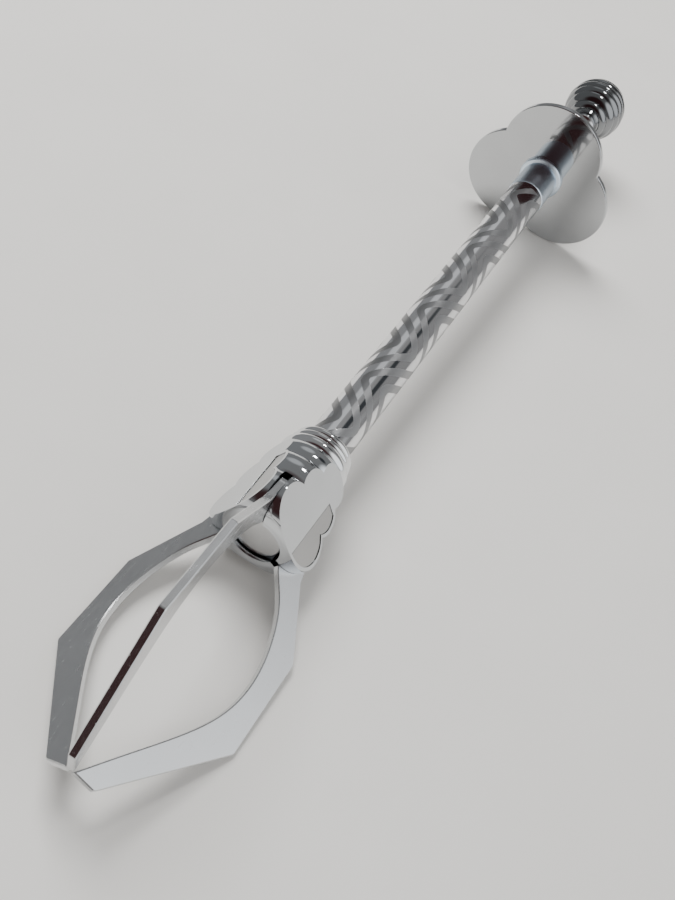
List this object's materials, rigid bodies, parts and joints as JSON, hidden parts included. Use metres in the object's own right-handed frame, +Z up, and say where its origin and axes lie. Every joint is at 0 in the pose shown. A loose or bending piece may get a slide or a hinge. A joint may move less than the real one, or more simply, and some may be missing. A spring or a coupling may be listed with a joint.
{
  "type": "three-claw plunger tongs",
  "caption": "Polished steel pick-up tongs: a spring-loaded thumb plunger in a patterned tube handle opens flat claws in a turned, slotted head; trefoil finger flange.",
  "frame": {"origin": "on the handle axis, midway along the exposed tube", "axes": "+Y along the handle from the claws to the thumb knob, +Z up through the top claw, +X to the right"},
  "size_m": [0.0504, 0.314, 0.0487],
  "materials": {
    "polished_steel": "polished",
    "brushed_steel": "brushed",
    "bushing_brass": "machined",
    "etched_steel": "etched and polished",
    "dark_chrome": "mirror polished",
    "mirror_steel": "mirror polished",
    "stop_rubber": "moulded",
    "spring_steel": "drawn wire",
    "satin_steel": "satin"
  },
  "bodies": {
    "handle": {"claw_head": "polished_steel", "head_cap": "brushed_steel", "pin_cover_plates": "brushed_steel", "pivot_pins": "polished_steel", "front_collar": "polished_steel", "front_bushing": "bushing_brass", "handle_tube": "etched_steel", "rear_ferrule": "dark_chrome", "finger_flange": "mirror_steel", "rear_bushing": "polished_steel", "flange_nut": "polished_steel", "spring_seat": "bushing_brass", "stop_washer": "stop_rubber", "return_spring": "spring_steel"},
    "plunger": {"push_rod": "polished_steel", "claw_spool": "polished_steel", "spool_screw": "polished_steel", "spring_collar": "polished_steel", "collar_cross_pin": "polished_steel", "thumb_knob": "dark_chrome", "knob_lock_nut": "polished_steel"},
    "claw_arm_top": {"claw_arm_top": "satin_steel"},
    "claw_arm_left": {"claw_arm_left": "satin_steel"},
    "claw_arm_right": {"claw_arm_right": "satin_steel"}
  },
  "joints": [
    {"name": "plunger_slide", "type": "slide", "parent": "handle", "child": "plunger", "axis": [0, -1, 0], "range_m": [0, 0.00494], "deforming": ["return_spring"]},
    {"name": "claw_top_hinge", "type": "hinge", "parent": "handle", "child": "claw_arm_top", "pos_m": [0, -0.0913, 0.0116], "axis": [-1, 0, 0], "range_deg": [0, 36]},
    {"name": "claw_left_hinge", "type": "hinge", "parent": "handle", "child": "claw_arm_left", "pos_m": [-0.01005, -0.0913, -0.0058], "axis": [0.5, 0, -0.866], "range_deg": [0, 36]},
    {"name": "claw_right_hinge", "type": "hinge", "parent": "handle", "child": "claw_arm_right", "pos_m": [0.01005, -0.0913, -0.0058], "axis": [0.5, 0, 0.866], "range_deg": [0, 36]}
  ],
  "couplings": [
    {"joint": "claw_top_hinge", "follows": "plunger_slide", "rad_per_m": 127.08},
    {"joint": "claw_left_hinge", "follows": "plunger_slide", "rad_per_m": 127.08},
    {"joint": "claw_right_hinge", "follows": "plunger_slide", "rad_per_m": 127.08}
  ]
}
